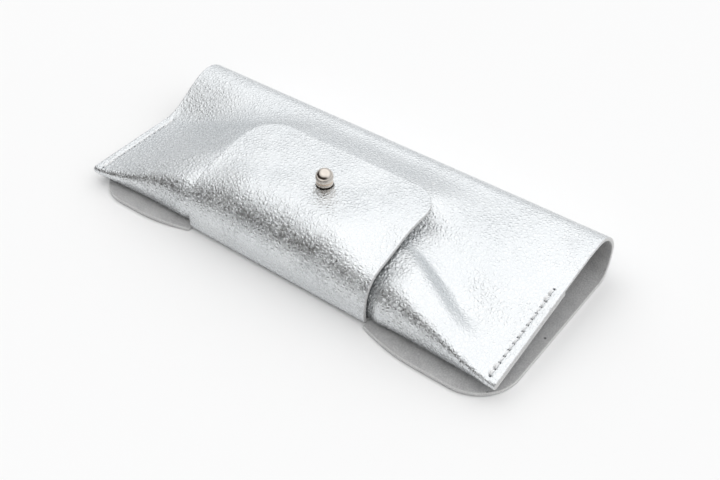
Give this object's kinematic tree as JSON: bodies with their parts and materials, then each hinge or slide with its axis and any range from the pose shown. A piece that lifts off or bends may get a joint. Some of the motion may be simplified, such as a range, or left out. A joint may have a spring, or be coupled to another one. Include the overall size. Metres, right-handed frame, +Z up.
{
  "type": "eyeglasses case",
  "caption": "Slim leather sleeve for folded eyeglasses: a sewn pocket inside a wrap-around cover, closed by a flap that buttons on a ball stud.",
  "frame": {"origin": "bottom centre of the closed case's bounding box, on the table", "axes": "+X along the folds towards the end whose seam slopes up, +Y from the flap towards the far fold, +Z up through the ball stud"},
  "size_m": [0.172, 0.074, 0.0297],
  "materials": {
    "leather": "metallic silver foil grain outside, grey suede inside",
    "thread": "matt polyester",
    "nickel": "polished"
  },
  "bodies": {
    "cover": {"cover_panel": "leather", "far_fold": "leather"},
    "flap_wall": {"flap_wall": "leather"},
    "flap_tip": {"flap_tip": "leather", "stud_hole_lips": "leather"},
    "pocket": {"front_panel": "leather", "near_roll": "leather", "pocket_panel": "leather", "seam_thread_left": "thread", "seam_thread_right": "thread", "ball_stud": "nickel", "stud_screw": "nickel"}
  },
  "joints": [
    {"name": "flap_root_fold", "type": "hinge", "parent": "cover", "child": "flap_wall", "pos_m": [0, -0.03139, 0.00081], "axis": [1, 0, 0], "range_deg": [0, 90]},
    {"name": "flap_tip_fold", "type": "hinge", "parent": "flap_wall", "child": "flap_tip", "pos_m": [0, -0.02758, 0.01898], "axis": [1, 0, 0], "range_deg": [0, 90], "deforming": ["stud_hole_lips"]},
    {"name": "pocket_open", "type": "hinge", "parent": "cover", "child": "pocket", "pos_m": [0, 0.037, 0.009], "axis": [-1, 0, 0], "range_deg": [0, 36]}
  ],
  "couplings": [
    {"joint": "flap_tip_fold", "follows": "flap_root_fold", "ratio": 1},
    {"joint": "pocket_open", "follows": "flap_root_fold", "ratio": 0.4}
  ]
}
